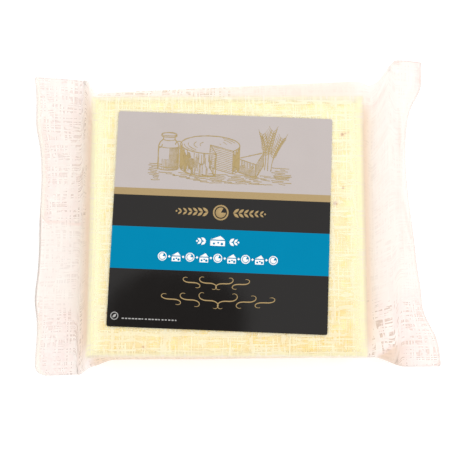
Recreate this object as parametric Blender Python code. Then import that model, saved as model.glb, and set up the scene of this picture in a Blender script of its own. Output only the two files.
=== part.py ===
"""A block of cheddar sealed in a clear film tube, lying flat with its square label up.

The film is one closed body. It lies flat on the block's top and back, stands off its far and near
sides, dives at both ends to half the pack's height and ends in two flat sealed fins. A welded seam
lies flat along the middle of the back. The label is a thin plate on the top. +X runs from the left
fin to the right one, +Y to the pack's far side, and the origin is on the back, under the block's
centre. Everything is in metres.
"""

import math
from collections import namedtuple

import bmesh
import bpy

# Block and pack
BLOCK_LENGTH = 0.1006
BLOCK_WIDTH = 0.0960
PACK_HEIGHT = 0.0210
EDGE_RADIUS = 0.0025
HALF_LENGTH = BLOCK_LENGTH / 2
HALF_WIDTH = BLOCK_WIDTH / 2
HALF_HEIGHT = PACK_HEIGHT / 2

# Film tube
FIN_THICKNESS = 0.0008
SEAM_HALF_WIDTH = 0.0050
SEAM_STEP = 0.0003
SEAM_THICKNESS = 0.0003

# How far the film stands off the block's long sides, at the left end, the middle and the right end
FAR_BULGES = (0.0042, 0.0070, 0.0094)
NEAR_BULGES = (0.0046, 0.0017, 0.0016, 0.0016, 0.0014, 0.0012, 0.0010, 0.0009, 0.0009)

# Where the film leaves the flat top, how soon it is flat again in the fin, which share of the
# girth rises to the corners, and how soon the film's columns leave the block's corners
SHOULDER_START = 0.0020
SHOULDER_LENGTH = 0.0082
SHOULDER_HOLD = 1.5
EAR_START = 0.55
EAR_END = 0.80
COLUMN_HOLD = 4.0

# Label
LABEL_SIDE = 0.0800
LABEL_THICKNESS = 0.0002
LABEL_CORNER = 0.0008
LABEL_GAP = 0.0003
LABEL_CENTRE = (-0.0024, 0.0011)
LABEL_TURN = math.radians(-2.2)

# Sealed end: its direction along X, how long its corners take to become flat, where along X the
# film spreads to the fin's width, the fin's half width and how far it sits towards the far side, how
# much further its far and near edges spread by the outer edge, the radii of its far and near corners,
# how far it reaches past the block at equal steps from its far to its near edge, how far its outer
# edge droops, and the height, length and phase of its waves
End = namedtuple(
    "End",
    "direction ear_length spread half_width shift flares corners reaches droop wave wavelength phase",
)
LEFT = End(
    direction=-1,
    ear_length=0.0090,
    spread=(0.0500, 0.0558),
    half_width=0.05655,
    shift=0.00125,
    flares=(0.0022, 0.0006),
    corners=(0.0004, 0.0045),
    reaches=(
        0.0260, 0.0246, 0.0241, 0.0226, 0.0219, 0.0216, 0.0218, 0.0220, 0.0223, 0.0226, 0.0216, 0.0221,
        0.0226,
    ),
    droop=0.0015,
    wave=0.0011,
    wavelength=0.0370,
    phase=0.6,
)
RIGHT = End(
    direction=1,
    ear_length=0.0180,
    spread=(0.0535, 0.0663),
    half_width=0.0592,
    shift=0.0070,
    flares=(0.0, 0.0),
    corners=(0.0, 0.0008),
    reaches=(
        0.0263, 0.0259, 0.0210, 0.0189, 0.0188, 0.0194, 0.0201, 0.0207, 0.0217, 0.0233, 0.0245, 0.0285,
        0.0298,
    ),
    droop=0.0020,
    wave=0.0013,
    wavelength=0.0430,
    phase=2.4,
)

# How finely the film is divided
FIN_STEPS = 6
SHOULDER_STEPS = 7
BLOCK_STEPS = 14
TOP_STEPS = 8
EDGE_STEPS = 3
SIDE_STEPS = 4


def smooth_step(value):
    """Rise from 0 to 1 without a corner at either end."""
    value = min(max(value, 0.0), 1.0)
    return value * value * (3.0 - 2.0 * value)


def mix(first, second, share):
    """The value that lies the given share of the way from the first to the second."""
    return first + (second - first) * share


def curve_value(knots, share):
    """Read a smooth curve through equally spaced knots at a share of its length, 0 to 1."""
    spans = len(knots) - 1
    place = min(max(share, 0.0), 1.0) * spans
    index = min(int(place), spans - 1)
    local = place - index
    start = knots[index]
    end = knots[index + 1]
    before = knots[index - 1] if index > 0 else 2.0 * start - end
    after = knots[index + 2] if index + 2 <= spans else 2.0 * end - start
    slope_in = (end - before) / 2.0
    slope_out = (after - start) / 2.0
    square = local * local
    cube = square * local
    return (
        start * (2.0 * cube - 3.0 * square + 1.0)
        + slope_in * (cube - 2.0 * square + local)
        + end * (3.0 * square - 2.0 * cube)
        + slope_out * (cube - square)
    )


def girth_length():
    """The film's length from the middle of the top to mid-height on the side, on the block."""
    return HALF_WIDTH + HALF_HEIGHT - EDGE_RADIUS * (2.0 - math.pi / 2.0)


def way_round(girth, flat, edge, side, left):
    """How far round a section's upper half a point lies.

    While enough of the block's height is left, the point stays on the part of the section, top, edge
    or side, that it has on the block. Towards the fin the points spread evenly.
    """
    share = abs(girth)
    length = girth_length()
    flat_share = (HALF_WIDTH - EDGE_RADIUS) / length
    edge_share = flat_share + EDGE_RADIUS * math.pi / 2.0 / length
    if share <= flat_share:
        kept = flat * share / flat_share
    elif share <= edge_share:
        kept = flat + edge * (share - flat_share) / (edge_share - flat_share)
    else:
        kept = flat + edge + side * (share - edge_share) / (1.0 - edge_share)
    return mix(share * (flat + edge + side), kept, smooth_step(COLUMN_HOLD * left))


def section_point(girth, half_width, half_height, top_height, left):
    """A point of the upper half of a section: flat top, rounded edge, then down to mid-height.

    girth runs from 0 in the middle of the top to 1 at mid-height on the side, and takes its sign.
    The flat top lies at top_height, which is half_height wherever the section is a plain one.
    """
    radius = min(EDGE_RADIUS, half_height)
    flat = half_width - radius
    edge = radius * math.pi / 2.0
    side = half_height - radius
    travelled = way_round(girth, flat, edge, side, left)
    if travelled <= flat:
        across = travelled
        height = top_height
    elif travelled <= flat + edge:
        angle = (travelled - flat) / radius
        across = flat + radius * math.sin(angle)
        height = half_height - radius * (1.0 - math.cos(angle))
    else:
        across = half_width
        height = side - (travelled - flat - edge)
    return math.copysign(across, girth), max(height, FIN_THICKNESS / 2.0)


def fall(distance, length):
    """How much of the block's height is left at a distance into a shoulder of the given length."""
    share = min(max(distance / length, 0.0), 1.0)
    return 1.0 - smooth_step(share ** SHOULDER_HOLD)


def bulge(girth, along):
    """How far the film stands off the side that girth is on, at mid-height."""
    knots = FAR_BULGES if girth > 0.0 else NEAR_BULGES
    return curve_value(knots, (along / HALF_LENGTH + 1.0) / 2.0)


def tube_point(end, along, girth, side):
    """A point of the film between the fins, along metres from the middle towards an end."""
    distance = along - (HALF_LENGTH - SHOULDER_START)
    corner_left = fall(distance, end.ear_length)
    middle_left = fall(distance, SHOULDER_LENGTH)
    ear = smooth_step((abs(girth) - EAR_START) / (EAR_END - EAR_START))
    top_left = mix(middle_left, corner_left, ear)
    thin = FIN_THICKNESS / 2.0
    spread = smooth_step((along - end.spread[0]) / (end.spread[1] - end.spread[0]))
    half_height = mix(thin, HALF_HEIGHT, corner_left)
    half_width = mix(HALF_WIDTH, end.half_width, spread)
    top_height = mix(thin, HALF_HEIGHT, top_left)
    across, height = section_point(girth, half_width, half_height, top_height, corner_left)
    roundness = max(0.0, 1.0 - (height / half_height) ** 2)
    off_side = bulge(girth, end.direction * along) * corner_left ** 2 * roundness
    if abs(across) > half_width - EDGE_RADIUS:
        across += math.copysign(off_side, girth)
    return end.direction * along, across + end.shift * spread, HALF_HEIGHT + side * height


def round_corner(radius, distance):
    """How far a round corner cuts an edge back, at a distance from the straight side beside it."""
    inside = max(radius - distance, 0.0)
    return radius - math.sqrt(radius * radius - inside * inside)


def fin_edge(end, girth):
    """How far along X a fin reaches from the pack's middle."""
    outer = HALF_LENGTH + curve_value(end.reaches, (1.0 - girth) / 2.0)
    for radius, beside in zip(end.corners, (1.0 - girth, 1.0 + girth)):
        outer -= round_corner(radius, beside * end.half_width)
    return outer


def fin_point(end, share, girth, side):
    """A point of a fin, at a share of the way from its root to its outer edge."""
    root = HALF_LENGTH - SHOULDER_START + end.ear_length
    along = mix(root, fin_edge(end, girth), share)
    flare = end.flares[0 if girth > 0.0 else 1] * share
    across = girth * (end.half_width + flare * abs(girth)) + end.shift
    turn = 2.0 * math.pi * across / end.wavelength + end.phase
    lift = share * (end.wave * math.sin(turn) - end.droop * share)
    return end.direction * along, across, HALF_HEIGHT + lift + side * FIN_THICKNESS / 2.0


def seam_lift(girth, height):
    """Raise the back beside the seam, so that only the seam and nothing else touches the table."""
    beside = abs(girth) > seam_share() * 1.001
    return SEAM_THICKNESS if beside and height < HALF_HEIGHT - SEAM_THICKNESS else 0.0


def seam_share():
    """The seam's half width as a share of that length."""
    return SEAM_HALF_WIDTH / girth_length()


def girth_columns():
    """Where the film is divided across, from the near side, -1, to the far side, 1."""
    length = girth_length()
    flat = HALF_WIDTH - EDGE_RADIUS
    edge = EDGE_RADIUS * math.pi / 2.0
    seam_end = SEAM_HALF_WIDTH + SEAM_STEP
    places = [0.0, SEAM_HALF_WIDTH, seam_end]
    places += [mix(seam_end, flat, step / TOP_STEPS) for step in range(1, TOP_STEPS + 1)]
    places += [flat + edge * step / EDGE_STEPS for step in range(1, EDGE_STEPS + 1)]
    places += [mix(flat + edge, length, step / SIDE_STEPS) for step in range(1, SIDE_STEPS + 1)]
    shares = [place / length for place in places]
    return [-share for share in reversed(shares[1:])] + shares


def film_stations():
    """The film's stations along X, as functions of girth and side, from left to right."""
    def fin(end, share):
        return lambda girth, side: fin_point(end, share, girth, side)

    def tube(end, along):
        return lambda girth, side: tube_point(end, along, girth, side)

    def half(end):
        start = HALF_LENGTH - SHOULDER_START
        outward = [tube(end, start * step / BLOCK_STEPS * 2.0) for step in range(1, BLOCK_STEPS // 2)]
        for step in range(SHOULDER_STEPS):
            outward.append(tube(end, start + end.ear_length * step / SHOULDER_STEPS))
        for step in range(FIN_STEPS + 1):
            outward.append(fin(end, step / FIN_STEPS))
        return outward

    return list(reversed(half(LEFT))) + [tube(RIGHT, 0.0)] + half(RIGHT)


def film_mesh():
    """Lay a two-sided grid over the film's stations and columns."""
    stations = film_stations()
    columns = girth_columns()
    last_station = len(stations) - 1
    last_column = len(columns) - 1
    mesh = bmesh.new()
    bmesh.ops.create_grid(mesh, x_segments=last_station, y_segments=last_column, size=1.0)
    bmesh.ops.solidify(mesh, geom=mesh.faces[:], thickness=1.0)
    middle = sum(vert.co.z for vert in mesh.verts) / len(mesh.verts)
    for vert in mesh.verts:
        station = stations[round((vert.co.x + 1.0) / 2.0 * last_station)]
        girth = columns[round((vert.co.y + 1.0) / 2.0 * last_column)]
        side = 1 if vert.co.z > middle else -1
        x, y, z = station(girth, side)
        vert.co = (x, y, z + (seam_lift(girth, z) if side < 0 else 0.0))
    return mesh


def label_mesh():
    """A square plate with small round corners, lying on its lower face."""
    mesh = bmesh.new()
    bmesh.ops.create_grid(mesh, x_segments=1, y_segments=1, size=LABEL_SIDE / 2)
    bmesh.ops.bevel(
        mesh,
        geom=mesh.verts[:],
        offset=LABEL_CORNER,
        offset_type="OFFSET",
        segments=4,
        profile=0.5,
        affect="VERTICES",
        material=-1,
    )
    extruded = bmesh.ops.extrude_face_region(mesh, geom=mesh.faces[:])
    raised = [item for item in extruded["geom"] if isinstance(item, bmesh.types.BMVert)]
    bmesh.ops.translate(mesh, verts=raised, vec=(0.0, 0.0, LABEL_THICKNESS))
    return mesh


def finish(name, colour, roughness):
    """A plain material with the piece's colour and gloss."""
    material = bpy.data.materials.new(name)
    material.use_nodes = True
    shader = material.node_tree.nodes["Principled BSDF"]
    shader.inputs["Base Color"].default_value = (*colour, 1.0)
    shader.inputs["Roughness"].default_value = roughness
    shader.inputs["Metallic"].default_value = 0.0
    return material


def add_piece(name, mesh, material, location=(0.0, 0.0, 0.0), turn=0.0):
    """Turn a finished bmesh into a named object with outward faces."""
    bmesh.ops.recalc_face_normals(mesh, faces=mesh.faces[:])
    data = bpy.data.meshes.new(name)
    mesh.to_mesh(data)
    mesh.free()
    data.materials.append(material)
    piece = bpy.data.objects.new(name, data)
    piece.location = location
    piece.rotation_euler = (0.0, 0.0, turn)
    bpy.context.scene.collection.objects.link(piece)
    return piece


def clear_scene():
    """Remove whatever the scene holds."""
    for thing in list(bpy.data.objects):
        bpy.data.objects.remove(thing, do_unlink=True)


def build():
    """Make the film pack and its label."""
    clear_scene()
    film = finish("film", (0.95, 0.88, 0.62), 0.3)
    paper = finish("label", (0.035, 0.034, 0.034), 0.35)
    add_piece("film_pack", film_mesh(), film)
    top = PACK_HEIGHT + LABEL_GAP
    add_piece("label", label_mesh(), paper, (*LABEL_CENTRE, top), LABEL_TURN)


build()
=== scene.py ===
import math
import random
from collections import namedtuple

import bmesh
import bpy
from mathutils import Euler, Matrix, Vector, noise


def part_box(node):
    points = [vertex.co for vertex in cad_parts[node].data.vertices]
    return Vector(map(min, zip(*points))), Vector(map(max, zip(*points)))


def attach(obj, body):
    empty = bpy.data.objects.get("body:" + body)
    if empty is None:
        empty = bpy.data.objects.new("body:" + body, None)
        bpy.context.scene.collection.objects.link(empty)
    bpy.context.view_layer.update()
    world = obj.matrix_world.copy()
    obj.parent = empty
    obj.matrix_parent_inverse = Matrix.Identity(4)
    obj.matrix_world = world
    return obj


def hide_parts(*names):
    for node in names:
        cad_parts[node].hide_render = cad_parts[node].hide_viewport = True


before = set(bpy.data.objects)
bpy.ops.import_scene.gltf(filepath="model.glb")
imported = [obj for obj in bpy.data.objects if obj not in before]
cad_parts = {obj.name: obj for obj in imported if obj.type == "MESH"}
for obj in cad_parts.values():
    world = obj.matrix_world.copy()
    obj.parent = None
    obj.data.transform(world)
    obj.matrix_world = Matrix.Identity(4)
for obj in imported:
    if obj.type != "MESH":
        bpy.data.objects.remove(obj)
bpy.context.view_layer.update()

bl_info = {
    "name": "Film-packed Cheddar",
    "version": (1, 0, 0),
    "blender": (4, 5, 0),
    "location": "View3D > Sidebar > Cheddar",
    "description": "Printed clear film, cheese and label for a flow-wrapped block of cheddar",
    "category": "Object",
}

MM = 0.001
FILM_LOW, FILM_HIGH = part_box("film_pack")
LABEL_LOW, LABEL_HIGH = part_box("label")

# Block and pack
PACK_HEIGHT = FILM_HIGH.z - FILM_LOW.z
HALF_HEIGHT = PACK_HEIGHT / 2
HALF_LENGTH = 0.0503
HALF_WIDTH = 0.0480
EDGE_RADIUS = 0.0025

# Gaps between the cheese and the film along X, Y and Z, how far its edges are rounded along each, the
# radius of its far right corner on the plan, how much higher than the pack's middle it lies, how finely
# it is divided, and the depth and size of the dents in its skin
BLOCK_GAPS = (0.00015, 0.00015, 0.00045)
BLOCK_RADII = (0.0006, 0.0025, 0.0025)
BLOCK_CORNER = 0.0036
BLOCK_LIFT = 0.0001
BLOCK_CUTS = 44
DENT_DEPTH = 0.00015
DENT_SIZE = 0.006

# Specks in the cheese's top: place and half size
SPECKS = (
    ((0.0428, 0.0339), 0.00065),
    ((0.0440, 0.0343), 0.00035),
    ((0.0451, 0.0347), 0.00030),
    ((0.0428, 0.0137), 0.00050),
    ((0.0398, 0.0079), 0.00085),
    ((0.0157, 0.0413), 0.00035),
    ((0.0478, -0.0100), 0.00030),
    ((-0.0440, -0.0325), 0.00045),
    ((-0.0305, -0.0448), 0.00045),
    ((-0.0451, 0.0182), 0.00028),
)

# Cheese's finish: scales of its mottling and grain, the levels between which it mottles, how far inside
# the ends it turns pale with a painted glow, the places along Y between which it deepens, and the height of
# its grain
MOTTLE_SCALE = 260.0
GRAIN_SCALE = 1400.0
MOTTLE_LEVELS = (0.36, 0.70)
PALE_END = (0.0065, 0.0015)
DEEP_SIDE = (0.055, -0.060)
CHEESE_RELIEF = 0.0002

# Film tube: gap between the layers of a fin, thickness of the seam under it, and how far it stands off
# the block's far and near sides at equally spaced places from the left end to the right one
LAYER_GAP = 0.0004
SEAM_THICKNESS = 0.0003
FAR_BULGES = (0.0042, 0.0070, 0.0094)
NEAR_BULGES = (
    0.0046, 0.0022, 0.0017, 0.0017, 0.0016, 0.0016, 0.0016, 0.0015, 0.0014, 0.0013, 0.0012, 0.0011,
    0.0010, 0.0009, 0.0009, 0.0009, 0.0009,
)

# Shoulder, where the film comes down from the block to a fin: how far inside the block's end it starts,
# its length and how long it holds its height, the shares of the girth between which it passes into the
# corners, and how long the points keep their places round the section
SHOULDER_START = 0.0020
SHOULDER_LENGTH = 0.0082
SHOULDER_HOLD = 1.5
EAR_START = 0.55
EAR_END = 0.80
COLUMN_HOLD = 4.0

# How finely the film is divided along half the block, a shoulder and a fin, and round the pack's upper half
TUBE_STEPS = 40
SHOULDER_STEPS = 18
FIN_STEPS = 16
FILM_COLUMNS = 136

# How far the threads' pattern travels along a fin
FIN_TRAVEL = 0.016

# Heights of the film's folds: on the block, on a shoulder, and broad and fine ones in a fin
BLOCK_FOLD = 0.00008
SHOULDER_FOLD = 0.00035
BROAD_FOLD = 0.00045
FINE_FOLD = 0.00012

# Crimped seam on the back: half its width and length, steps along and across it, height of its middle,
# thickness, how far it wanders, the ridges' height and pitch, the shares of its half width between which
# they run out, and where it lies in the threads' pattern
SEAM_HALF_WIDTH = 0.0050
SEAM_HALF_LENGTH = 0.0480
SEAM_STEPS = (540, 16)
SEAM_MIDDLE = 0.00014
SEAM_SHEET = 0.00010
SEAM_WANDER = 0.0002
SEAM_RIDGE = 0.00006
SEAM_PITCH = 0.0012
SEAM_PLAIN = (0.92, 0.86)
SEAM_WAY = 0.2

# Sealed end: direction along X, how long its corners take to become flat, where along X the film
# spreads to the fin's width, the fin's half width and its shift towards the far side, how much
# further its far and near edges spread by the outer edge, the radii of its far and near corners, its
# reach past the block from far to near edge, how much shorter the upper layer is there, the width of
# the unprinted edge, droop of the outer edge, and the height, length and phase of its waves
End = namedtuple(
    "End",
    "direction ear_length spread half_width shift flares corners reaches steps margin droop wave"
    " wavelength phase",
)
LEFT = End(
    direction=-1,
    ear_length=0.0090,
    spread=(0.0500, 0.0558),
    half_width=0.05655,
    shift=0.00125,
    flares=(0.0022, 0.0006),
    corners=(0.0004, 0.0045),
    reaches=(
        0.0260, 0.0246, 0.0241, 0.0226, 0.0219, 0.0216, 0.0218, 0.0220, 0.0223, 0.0226, 0.0216, 0.0221,
        0.0226,
    ),
    steps=(0.0, 0.0, 0.0, 0.0, 0.0, 0.0, 0.0010, 0.0015, 0.0014, 0.0014, 0.0004, 0.0, 0.0),
    margin=0.0016,
    droop=0.0015,
    wave=0.0011,
    wavelength=0.0370,
    phase=0.6,
)
RIGHT = End(
    direction=1,
    ear_length=0.0180,
    spread=(0.0535, 0.0663),
    half_width=0.0592,
    shift=0.0070,
    flares=(0.0, 0.0),
    corners=(0.0, 0.0008),
    reaches=(
        0.0263, 0.0259, 0.0210, 0.0189, 0.0188, 0.0194, 0.0201, 0.0207, 0.0217, 0.0233, 0.0245, 0.0285,
        0.0298,
    ),
    steps=(0.0, 0.0003, 0.0, 0.0, 0.0),
    margin=0.0003,
    droop=0.0020,
    wave=0.0013,
    wavelength=0.0430,
    phase=2.4,
)

# Shares written on the film's points: how strongly it is printed, in a fin, has painted shade where it dives
# past the block, lies on a cut edge, has plain print, has painted shade along a fold, is pink, has painted
# shade in its gaps, has painted shadow where film is tucked under, and has a painted glow on the cheese's
# outline
Marks = namedtuple("Marks", "printed fin valley rim plain crease blush dots tuck edge")

# Edge of the upper film over the flap tucked under the right fin's near corner, which gets a painted shadow,
# how soft that edge and the flap's start are, and between which places along X it fades
TUCK_LINE = ((0.0546, -0.0476), (0.0622, -0.0444))
FLAP_EDGE = 0.0004
FLAP_START = 0.0010
FLAP = (0.0705, 0.0585)

# Painted shade along folds in the fins' upper layer, each a line on the plan, its half width and how
# strongly it shows
CREASE_SHADES = (
    (((-0.0730, 0.0026), (-0.0560, 0.0012)), 0.0004, 0.6),
    (((-0.0715, 0.0430), (-0.0690, 0.0020)), 0.0009, 0.3),
    (((0.0548, 0.0442), (0.0608, 0.0535)), 0.0010, 0.40),
    (((0.0650, 0.0657), (0.0765, 0.0660)), 0.0004, 0.7),
    (((0.0648, 0.0650), (0.0672, 0.0650)), 0.0009, 0.55),
    (((0.0753, 0.0640), (0.0761, 0.0580)), 0.0004, 0.7),
    (((0.0750, 0.0595), (0.0757, 0.0585)), 0.0006, 0.5),
    (TUCK_LINE, 0.0003, 0.6),
    (((0.0788, -0.0510), (0.0795, -0.0518)), 0.0006, 1.0),
    (((0.0672, 0.0100), (0.0700, -0.0040)), 0.0008, 0.4),
    (((0.0670, 0.0380), (0.0655, 0.0060)), 0.0010, 0.2),
)

# Where the film's near side turns under beside the block, in a painted shade line, and its half width
NEAR_SHADE = ((-0.0500, -0.0510), (-0.0180, -0.0498))
NEAR_SHADE_WIDTH = 0.0008

# Tones round the block, among them painted shade where the film dives past it, a painted glow along
# the outline of its top and a painted shadow just past its ends, each by the distances past its end or
# side where it is 0 and where it is full, but for single lengths and VALLEY_GIRTH, which holds shares of
# the girth. The left end shows a little further out through the film than it lies.
LEFT_SHOW = 0.0006
FAINT_STRIP = (-0.0054, -0.0010)
OFF_END = (-0.0006, 0.0004)
OFF_SIDE = (-0.0006, 0.0006)
VALLEY_END = (-0.0003, 0.0007)
VALLEY_SIDE = (-0.0002, 0.0010)
VALLEY_ENDS = (0.0, -0.0040)
VALLEY_LENGTH = 0.0046
VALLEY_GIRTH = (0.90, 0.65)
LEMON_END = (-0.0027, -0.0017)
LEMON_SIDE = (-0.0022, -0.0008)
LEMON_CORNER = (0.0035, 0.0047)
LEMON_CORNER_INSET = 0.0050
LEMON_OUT_END = (0.0011, 0.0002)
LEMON_OUT_SIDE = (0.0014, -0.0004)
DIVE_START = (0.0, 0.0004)
DIVE_END = (0.0032, 0.0022)
SHADOW_PLACE = 0.0009
SHADOW_WIDTH = 0.0013
SHADOW_ENDS = (0.0, -0.0060)

# Widths over which a fin's rim and the lower layer beyond the upper one's edge fade
RIM_WIDTH = 0.0006
STEP_FADE = 0.0008

# Tones of the fins, among them painted shade in the gaps between threads, each by the places along X or Y
# where it is 0 and where it is full
NEAR_CORNER = (-0.0270, -0.0288)
PALE_GAPS = ((0.0040, 0.0010), (-0.0350, -0.0290))
LEFT_GAP_SHADOW = (-0.0640, -0.0560)
RIGHT_GAP_SHADOW = (0.0640, 0.0720)
PINK_OUTWARD = (0.0600, 0.0680)
PINK_NEAR = (-0.0200, -0.0300)
PINK_FAR = (0.0450, 0.0570)
PINK_CORNER = (0.0720, 0.0750)
LEFT_PINK = (-0.0270, -0.0350)

# How far the threads are pulled askew by each metre towards the right fin's near corner, between which
# places along X, and over which places along Y the pull grows
THREAD_PULL = -0.32
PULLED_PART = (0.0515, 0.0650)
PULL_GROWS = (0.0, -0.0340)

# Weave: the lengths over which threads wander, soft bands, gaps and crowding change, and the sizes
# along the film and across it of the clusters of gaps and of the pinker patches
THREAD_WANDER = 0.060
BAND_RUN = 0.014
GAP_RUN = 0.011
CROWDING_SIZE = 0.007
CLUSTER_SIZES = (0.0032, 0.0026)
WASH_SIZES = (0.004, 0.012)

# Threads and fine threads, as the two seeds, the spacing and the half width, how full the patches are
# and how much that changes with crowding, and how much ink all but the main threads hold
THREADS = ((1.5, 2.5), 1.0, 0.050)
FINE_THREADS = ((3.5, 4.5), 0.6, 0.045)
PATCH_START = 0.572
PATCH_CROWDING = 0.18
FINE_INK = 0.6
PATCH_INK = 0.85
BAND_INK = 0.45
INK_RELIEF = 0.00003

# Levels of the noise between which a thread is broken off or present, ink fills a patch, a soft band, a
# cluster or a pinker patch begins and is full, and how high the strips between threads reach
THREAD_LEVELS = (0.40, 0.50)
PATCH_LEVELS = (-0.010, 0.030)
BAND_LEVELS = (0.44, 0.60)
CLUSTER_LEVELS = (0.38, 0.54)
WASH_LEVELS = (0.38, 0.62)
GAP_SOFTNESS = 0.035

# Label: its size and its place, how far it floats over the film, where its bands end as shares of its
# height from the top, and the thickness and flatness of its inks
LABEL_SIDE = 0.0800
LABEL_FLOAT = 0.0001
LABEL_CORNER = 0.0008
LABEL_TURN = math.radians(-2.2)
LABEL_CENTRE = (LABEL_LOW + LABEL_HIGH) / 2
BAND_ENDS = (0.3605, 0.393, 0.540, 0.7345)
INK_THICKNESS = 0.00004
INK_FLATNESS = 0.15

# Scales of the paper's grain and of its faint clouds, and the height of the grain
PAPER_GRAIN = 2600.0
PAPER_CLOUD = 90.0
PAPER_RELIEF = 0.00002

# How heavy the drawing's lines are, the width of the scrolls' lines, and places of the label's print,
# in millimetres about the label's middle
DRAWING_WEIGHT = 1.25
SCROLL_WIDTH = 0.42
TITLE_PLACE = (-0.3, 3.1)
UPPER_ROW_PLACE = (-1.0, -7.4)
LOWER_ROW_PLACE = (-0.7, -13.8)
UPPER_SCROLL_PLACE = (-0.9, -23.0)
LOWER_SCROLL_PLACE = (0.0, -29.3)
MARK_PLACE = (-37.3, -36.1)
RULE_START = (-34.6, -36.9)
RULE_END = -14.1

# Camera, fitted to the label's four corners in the photograph's frame
PHOTO_SIDE = 450
PHOTO_FOCUS = 760.4
CAMERA_DISTANCE = 0.280
CAMERA_TILT = math.radians(7.06)
CAMERA_ROLL = math.radians(0.09)
CAMERA_AIM = (-0.00101, -0.00032)

# Dark card just above the camera: its middle, its size on the plan, and its darkest and palest grey
CARD_PLACE = (-0.038, -0.035, 0.312)
CARD_SIZE = (0.107, 0.078)
CARD_TONES = (0.02, 0.03)

# Floor, a little under the pack, with its darkest and palest grey, and the large soft lamp
FLOOR_HALF = 2.0
FLOOR_HEIGHT = -0.0002
FLOOR_TONES = (0.93, 0.95)
LAMP_PLACE = (0.50, 0.35, 0.75)
LAMP_SIZE = 0.9


def srgb(red, green, blue):
    """Linear colour of an 8-bit display colour."""
    def linear(value):
        value /= 255.0
        return value / 12.92 if value <= 0.04045 else ((value + 0.055) / 1.055) ** 2.4

    return linear(red), linear(green), linear(blue)


def number(name, description, default, **limits):
    """A number that a user can change."""
    return bpy.props.FloatProperty(name=name, description=description, default=default, **limits)


def portion(name, description, default):
    """A share from 0 to 1 that a user can change."""
    return number(name, description, default, min=0.0, max=1.0)


def colour(name, description, default):
    """A colour that a user can change."""
    return bpy.props.FloatVectorProperty(
        name=name, description=description, default=default, size=3, min=0.0, max=1.0, subtype="COLOR"
    )


class FilmSettings(bpy.types.PropertyGroup):
    """The printed clear film."""

    ink: colour("Ink", "Colour of the printed weave over the cheese", srgb(254, 251, 232))
    fin_ink: colour("Fin ink", "Colour of the printed weave in the fins", srgb(253, 245, 238))
    fin_pink: colour("Fin wash", "Pinker patches of that weave", srgb(251, 236, 231))
    bare: colour("Bare film", "Faint tone of the film between the threads", srgb(241, 225, 219))
    margin: colour("Margin", "Tone of the unprinted film along a cut edge", srgb(250, 238, 220))
    thread_tone: colour("Bright threads", "Palest threads in the fins", srgb(254, 250, 244))
    # Painted shade in the gaps between threads, standing in for the shadowed floor seen through them
    dot: colour("Dots", "Darker tone between threads in the right fin's near corner", srgb(228, 199, 181))
    # Painted glow along the outline of the cheese's top
    lemon_glow: colour("Edge", "Tone along the outline of the cheese's top", srgb(255, 250, 207))
    # Painted shade, tinted by light bounced off the cheese, where the film dives past the block
    valley_shade_tone: colour("Valley", "Tone of the film that dives past the cheese", srgb(241, 213, 183))
    # Painted shade along the folds in the fins
    crease: colour("Crease", "Tone of the folds in the fins", srgb(247, 216, 206))
    # Painted shadow on the film tucked under the right fin's near corner and beside the block
    tucked: colour("Tucked film", "Tone of the flap under the right fin's near corner", srgb(230, 199, 174))
    rim: colour("Rim", "Tone along the cut edges of the fins", srgb(206, 180, 162))
    cover: portion("Cover", "How much the ink hides over the cheese", 0.60)
    fin_cover: portion("Fin cover", "How much the ink hides in the fins", 0.78)
    rim_cover: portion("Rim cover", "How much the film hides along its cut edges", 0.30)
    edge_cover: portion("Edge cover", "How much the lemon outline hides", 0.72)
    clear: portion("Clear film", "How much the bare film hides over the cheese", 0.06)
    haze: portion("Fin haze", "How much the bare film hides in a fin", 0.42)
    thread: number("Thread", "Spacing of the printed threads", 0.00095, unit="LENGTH")
    run: number("Thread run", "How far a printed thread runs unbroken", 0.0045, unit="LENGTH")
    gloss: portion("Roughness", "Roughness of the film", 0.30)


class CheeseSettings(bpy.types.PropertyGroup):
    """The block of cheddar."""

    body: colour("Body", "Colour in the middle of the block's top", srgb(254, 249, 200))
    # Painted glow: the paler colour along the block's ends
    edge: colour("Edge", "Colour along the block's ends", srgb(254, 250, 208))
    deep: colour("Deep", "Colour of the darker mottling", srgb(248, 224, 138))
    speck: colour("Specks", "Colour of the brown specks", srgb(190, 118, 2))


class LabelSettings(bpy.types.PropertyGroup):
    """The label's bands and inks."""

    silver: colour("Silver", "Band at the top", srgb(188, 179, 176))
    gold: colour("Gold", "Narrow band under the silver", srgb(170, 146, 104))
    black: colour("Black", "Dark bands", srgb(30, 28, 27))
    blue: colour("Blue", "Bright band", srgb(0, 128, 168))
    white: colour("White", "White print", srgb(250, 250, 250))
    small: colour("Small print", "Small mark and rule in the corner", srgb(176, 174, 172))
    drawing: colour("Drawing", "Line drawing on the silver band", srgb(172, 150, 104))
    bronze: colour("Gold ink", "Gold print on the dark bands", srgb(172, 146, 100))


class StageSettings(bpy.types.PropertyGroup):
    """Floor and light."""

    sky: number("Sky", "Strength of the light from all round", 1.06, min=0.0)
    key: number("Key", "Power of the large soft lamp", 1.6, min=0.0)
    glow: number("Floor glow", "Light that the white floor sends back", 0.19, min=0.0)


def mix(first, second, share):
    """The value that lies the given share of the way from the first to the second."""
    return first + (second - first) * share


def smooth_step(value):
    """Rise from 0 to 1 without a corner at either end."""
    value = min(max(value, 0.0), 1.0)
    return value * value * (3.0 - 2.0 * value)


def rise(value, zero, one):
    """0 at the first place, 1 at the second and smooth between them."""
    return smooth_step((value - zero) / (one - zero))


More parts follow.
